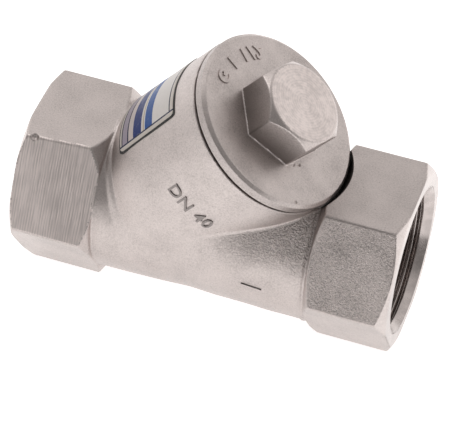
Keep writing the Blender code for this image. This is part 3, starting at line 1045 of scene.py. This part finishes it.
def blasted_steel(name, colour, roughness, grain, height, mottle, patch=0.0, cloudy=0.35, foot_shade=1.0):
    """Cast or blasted stainless steel: lumpy grain, cloudy tone, a few darker specks."""
    paint = Paint(name, roughness, 1.0)
    clouds = paint.noise(9.0, 3.0)
    coarse = paint.noise(grain, 2.0, 0.6)
    fine = paint.noise(grain * 0.5, 1.0)
    tone = paint.plus(paint.times(clouds, cloudy), paint.times(coarse, 1 - cloudy))
    dark = scaled(colour, 1 - mottle)
    light = scaled(colour, 1 + mottle * 0.6)
    shade = paint.ramp(tone, [(0.30, dark), (0.5, colour), (0.70, light)])
    shade = paint.mixed(paint.spots(3.1, 0.06), shade, scaled(colour, 0.45))
    relief = paint.plus(paint.times(coarse, 0.7), paint.times(fine, 0.3))
    if patch:
        shade, relief = roughen_patch(paint, shade, relief, colour, patch)
        # Painted shadow on the spot face's wall beside the cap
        shade = paint_spot_face_shadow(paint, shade, colour)
    # Painted shade at the foot of the cap's hexagon
    if foot_shade < 1:
        shade = paint_foot_shade(paint, shade, colour, foot_shade)
    paint.colour(shade)
    paint.roughness(paint.ranged(coarse, 0.25, 0.75, roughness + 0.05, roughness - 0.05))
    paint.bump(relief, height)
    return paint.material


EVENLY = (1.0, 1.0, 1.0)
ALONG_X = (1.0, 0.04, 0.04)


def cutter_lines(paint, place, pitch, clouds, bend, height):
    """Regular lines a pitch apart, bent a little by clouds."""
    phase = paint.times(place, 2 * math.pi / (pitch * MM))
    phase = paint.plus(phase, paint.times(paint.noise(clouds), bend))
    return paint.times(paint.math("SINE", phase), height)


def milled_steel(name, colour, roughness, stretch, spacing, depth, pitch=0.0, circles=0.0):
    """Machined steel, with tool lines across the direction in which stretch is 1.

    A pitch adds regular cutter lines across X, and circles adds them round the branch's axis.
    """
    paint = Paint(name, roughness, 1.0)
    lined = paint.stretched(stretch)
    lines = paint.noise(spacing, 2.0, 0.6, place=lined)
    if pitch:
        lines = paint.plus(lines, cutter_lines(paint, paint.split()[0], pitch, 7.0, 5.0, 0.12))
    if circles:
        lines = paint.plus(lines, cutter_lines(paint, paint.from_branch()[0], circles, 5.0, 4.0, 0.06))
    fine = paint.noise(0.5, 1.0)
    clouds = paint.noise(8.0, 2.0)
    tone = paint.plus(paint.times(lines, 0.6), paint.times(clouds, 0.4))
    paint.colour(paint.ramp(tone, [(0.38, scaled(colour, 0.84)), (0.62, scaled(colour, 1.1))]))
    paint.roughness(paint.ranged(lines, 0.3, 0.7, roughness - 0.05, roughness + 0.06))
    height = paint.plus(paint.times(lines, 0.8), paint.times(fine, 0.2))
    paint.bump(height, depth)
    return paint.material


def printed_film():
    paint = Paint("label_print", 0.38, 0.0)
    fill(paint.shader, {"Specular IOR Level": 0.22})
    _, depth = paint.from_branch()
    _, aside, _ = paint.split()
    middle = (LABEL_LOW + LABEL_HIGH) / 2 * MM
    reach = (LABEL_HIGH - LABEL_LOW) / 2
    # Along and across the label, which leans a little
    lengthwise = paint.minus(depth, middle)
    crosswise = paint.minus(paint.times(aside, -1.0), LABEL_OFFSET * MM)
    crosswise = paint.plus(crosswise, paint.times(lengthwise, math.tan(LABEL_LEAN)))
    lengthwise = paint.minus(lengthwise, paint.times(crosswise, math.tan(LABEL_LEAN)))
    along = paint.past(lengthwise, -reach, reach)
    metal = (0.64, 0.58, 0.53)
    bands = [
        (0.0, metal), (0.025, (0.02, 0.02, 0.04)), (0.045, (0.36, 0.31, 0.37)),
        (0.135, (0.02, 0.02, 0.05)), (0.16, (0.60, 0.52, 0.50)), (0.25, (0.0, 0.018, 0.15)),
        (0.405, (0.66, 0.62, 0.60)), (0.435, (0.52, 0.40, 0.26)), (0.455, (0.62, 0.63, 0.66)),
        (0.475, (0.010, 0.075, 0.30)), (0.61, (0.74, 0.69, 0.66)), (0.925, (0.02, 0.02, 0.05)),
        (0.945, metal),
    ]
    print_colour = paint.ramp(along, bands, steps=True)
    off_centre = paint.math("ABSOLUTE", crosswise)
    edge = BRANCH_RADIUS * math.sin(LABEL_HALF_ANGLE)
    frame_line = paint.past(off_centre, edge - 1.72, edge - 1.70)
    margin = paint.past(off_centre, edge - 1.22, edge - 1.20)
    framed = paint.mixed(frame_line, print_colour, (0.01, 0.015, 0.06))
    bare = paint.mixed(margin, framed, metal)
    wear = paint.noise(1.3, 3.0)
    paint.colour(paint.mixed(paint.ranged(wear, 0.55, 0.8, 0.0, 0.2), bare, (0.5, 0.48, 0.46)))
    paint.roughness(paint.ranged(paint.noise(2.0), 0.3, 0.7, 0.32, 0.46))
    paint.bump(paint.noise(0.8), 0.01)
    return paint.material


def plastic(name, cloud, detail, dark, light, dull, grain):
    """Two shades in clouds, with a fine grain in the gloss and on the surface."""
    paint = Paint(name, 0.5, 0.0)
    paint.colour(paint.ramp(paint.noise(cloud, detail), [(0.3, dark), (0.7, light)]))
    paint.roughness(paint.ranged(paint.noise(0.6), 0.3, 0.7, *dull))
    paint.bump(paint.noise(grain), 0.02)
    return paint.material


def give(piece, *materials):
    piece.data.materials.clear()
    for material in materials:
        piece.data.materials.append(material)


def faces_of(piece):
    """The centres, in millimetres, and the normals of a piece's faces, as three rows each."""
    faces = piece.data.polygons
    return read(faces, "center").T / MM, read(faces, "normal").T


def finish_casting(piece):
    """Blasted skin, one milled flat, rougher flats on the right hexagon and turned ends."""
    skin = blasted_steel("cast_skin", STEEL, 0.40, 0.5, 0.10, 0.24, patch=2.6)
    coarse = blasted_steel("coarse_skin", scaled(STEEL, 1.02), 0.42, 0.55, 0.42, 0.46, patch=0.1)
    milled = milled_steel("milled_flat", scaled(STEEL, 1.52), 0.46, ALONG_X, 0.42, 0.12, pitch=0.85)
    turned = milled_steel("turned_face", scaled(STEEL, 1.12), 0.30, EVENLY, 0.5, 0.01)
    give(piece, skin, coarse, milled, turned)
    (x, y, z), (nx, ny, nz) = faces_of(piece)
    inner_end = HALF_LENGTH - HEX_LENGTH
    upper_near = nz * math.cos(math.radians(60)) - ny * math.sin(math.radians(60)) > 0.985
    outside = np.hypot(y, z - FLOW_HEIGHT) > BARREL_RADIUS - 1
    finish = np.zeros(len(x), np.int32)
    finish[(x > inner_end) & outside & upper_near] = 1
    # The milling takes the rounded edge towards the top flat with it
    rounded = (np.abs(nx) < 0.12) & (ny < -0.12) & (nz > 0.5)
    finish[(x < -inner_end) & outside & (upper_near | rounded)] = 2
    finish[(np.abs(x) > HALF_LENGTH - 8) & (np.abs(nx) > 0.35)] = 3
    finish[(np.abs(x) > HALF_LENGTH - SOCKET_DEPTH) & ~outside] = 3
    piece.data.polygons.foreach_set("material_index", finish)


def finish_cap(piece, skin):
    """Blasted skin, a turned top on the hexagon and duller sides, with painted shade at their foot."""
    top = milled_steel("cap_top_face", scaled(STEEL, 1.42), 0.42, EVENLY, 1.6, 0.03, circles=0.9)
    sides = blasted_steel("cap_flanks", scaled(STEEL, 0.95), 0.40, 0.5, 0.10, 0.3, foot_shade=0.5)
    rim = blasted_steel("cap_rim", scaled(STEEL, 0.86), 0.40, 0.5, 0.07, 0.30)
    give(piece, skin, top, sides, rim)
    centres, normals = faces_of(piece)
    depth, _, _ = from_branch(*centres)
    facing = np.array(AXIS) @ normals
    finish = np.zeros(len(depth), np.int32)
    on_head = depth > FLANGE_TOP + 0.2
    finish[on_head & (facing > 0.97)] = 1
    finish[on_head & (facing <= 0.35)] = 2
    finish[~on_head & (facing <= 0.35)] = 3
    piece.data.polygons.foreach_set("material_index", finish)


# ---------------------------------------------------------------- studio

def make_camera():
    data = bpy.data.cameras.new("camera")
    data.lens = 192.02
    data.sensor_width = 36.0
    data.clip_start = 0.01
    data.clip_end = 20.0
    camera = link_piece("camera", data)
    right = Vector((0.94298306, 0.33228478, 0.01922934))
    down = Vector((0.2519144, -0.67475643, -0.69371673))
    forward = Vector((-0.21753639, 0.65900727, -0.71999121))
    turn = Matrix((right, -down, -forward)).transposed()
    camera.matrix_world = Matrix.Translation((0.175831, -0.526694, 0.600385)) @ turn.to_4x4()
    bpy.context.scene.camera = camera


def make_softbox():
    data = bpy.data.lights.new("overhead", "AREA")
    data.energy = 3.0
    data.size = 0.8
    light = link_piece("overhead", data)
    light.location = (-0.9, 0.5, 1.3)
    aim = Vector((0.0, 0.0, 0.03)) - light.location
    light.rotation_euler = aim.to_track_quat("-Z", "Y").to_euler()


def make_world():
    """A pale room that is darker on the side of the viewer and straight above."""
    world = bpy.data.worlds.new("studio")
    world.use_nodes = True
    tree = world.node_tree
    where = add_node(tree, "TexCoord", {})
    split = add_node(tree, "SeparateXYZ", {0: where.outputs["Generated"]})
    depth = map_range(tree, split.outputs["Y"], -0.75, 0.45, 0.23, 0.78, "SMOOTHSTEP")
    zenith = map_range(tree, split.outputs["Z"], 0.72, 0.97, 1.0, 0.6, "SMOOTHSTEP")
    strength = add_node(tree, "Math", {0: depth, 1: zenith}, operation="MULTIPLY").outputs["Value"]
    fill(tree.nodes["Background"], {"Color": (1.0, 0.985, 0.975, 1.0), "Strength": strength})
    bpy.context.scene.world = world


def make_floor():
    mesh = bpy.data.meshes.new("floor")
    reach = 3.0
    corners = [(-reach, -reach, 0.0), (reach, -reach, 0.0), (reach, reach, 0.0), (-reach, reach, 0.0)]
    mesh.from_pydata(corners, [], [(0, 1, 2, 3)])
    floor = link_piece("floor", mesh)
    paint = Paint("pale_floor", 0.9, 0.0)
    paint.colour(paint.ramp(paint.noise(40.0), [(0.0, (0.93, 0.93, 0.93)), (1.0, (0.95, 0.95, 0.95))]))
    fill(paint.shader, {"Emission Color": (1.0, 1.0, 1.0, 1.0), "Emission Strength": 0.76})
    give(floor, paint.material)


def make_studio():
    make_camera()
    make_world()
    make_floor()
    make_softbox()
    bpy.context.scene.view_settings.view_transform = "Standard"


def attach(piece, body, slot, *nodes):
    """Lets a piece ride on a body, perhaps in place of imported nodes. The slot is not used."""
    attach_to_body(piece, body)
    if nodes:
        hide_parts(*nodes)
    return piece


def make_strainer():
    cap_steel = blasted_steel("cap_skin", scaled(STEEL, 1.08), 0.38, 0.5, 0.07, 0.30, cloudy=0.5)
    threads = milled_steel("cut_thread", scaled(STEEL, 0.95), 0.24, EVENLY, 4.0, 0.002)
    punched = milled_steel("punched_sheet", (0.66, 0.65, 0.64), 0.28, EVENLY, 1.5, 0.006)
    drawn = milled_steel("drawn_wire", (0.60, 0.60, 0.60), 0.32, EVENLY, 0.8, 0.004)

    casting = attach(make_casting(), "root", "cast_stainless", "body_casting")
    finish_casting(casting)
    for name, side in (("inlet_thread", -1), ("outlet_thread", 1)):
        give(attach(make_socket_thread(name, side), "root", "cast_stainless"), threads)
    give(attach(make_branch_thread(), "root", "cast_stainless"), threads)
    label = make_label("printed_label", LABEL_BACK, LABEL_FRONT, 0.0)
    give(attach(label, "root", "label_film", "rating_label"), printed_film())
    # A near-black sheet a little larger than the label: partly its dark glue, partly painted shadow
    # under the label's raised edge
    glue_and_painted_shadow = make_label("label_glue_and_shadow", BRANCH_RADIUS - 0.3, LABEL_BACK + 0.02, GLUE_AND_SHADOW_EDGE)
    glue_and_shadow_paint = plastic("glue_and_painted_shadow", 1.0, 2.0, (0.010, 0.010, 0.011), (0.035, 0.033, 0.03), (0.45, 0.65), 0.4)
    give(attach(glue_and_painted_shadow, "root", "label_film"), glue_and_shadow_paint)

    # The raised marks are the cast steel painted at half its brightness: painted shade for the shadows
    # that make their strokes look dark
    marks_painted_shade = blasted_steel("raised_marks_painted_shade", scaled(STEEL, 0.5), 0.45, 0.5, 0.1, 0.3)
    give(attach(make_size_mark(), "root", "cast_stainless"), marks_painted_shade)
    give(attach(make_dash(), "root", "cast_stainless"), marks_painted_shade)
    cap = attach(make_cap(), "cap", "cap_stainless", "screw_cap")
    finish_cap(cap, cap_steel)
    give(attach(make_thread_mark(), "cap", "cap_stainless"), cap_steel)
    give(attach(make_cap_shank(), "cap", "cap_stainless"), threads)
    gasket = lathe("ptfe_gasket", bevelled(*GASKET, 0.25))
    ptfe = plastic("ptfe", 4.0, 3.0, (0.80, 0.79, 0.75), (0.90, 0.89, 0.86), (0.44, 0.58), 0.5)
    give(attach(gasket, "gasket", "gasket_ptfe", "cap_gasket"), ptfe)

    give(attach(make_screen_tube(), "screen", "screen_stainless", "screen_tube"), punched)
    rings = (("seat_ring", SEAT_RING, "screen_seat_ring"), ("cap_ring", CAP_RING, "screen_cap_ring"))
    for name, (low, high), node in rings:
        ring = lathe(name, bevelled(SCREEN_INNER, SCREEN_OUTER, low, high, 0.2))
        give(attach(ring, "screen", "screen_stainless", node), punched)
    give(attach(make_mesh_liner(), "screen", "mesh_stainless", "mesh_liner"), drawn)


make_studio()
make_strainer()
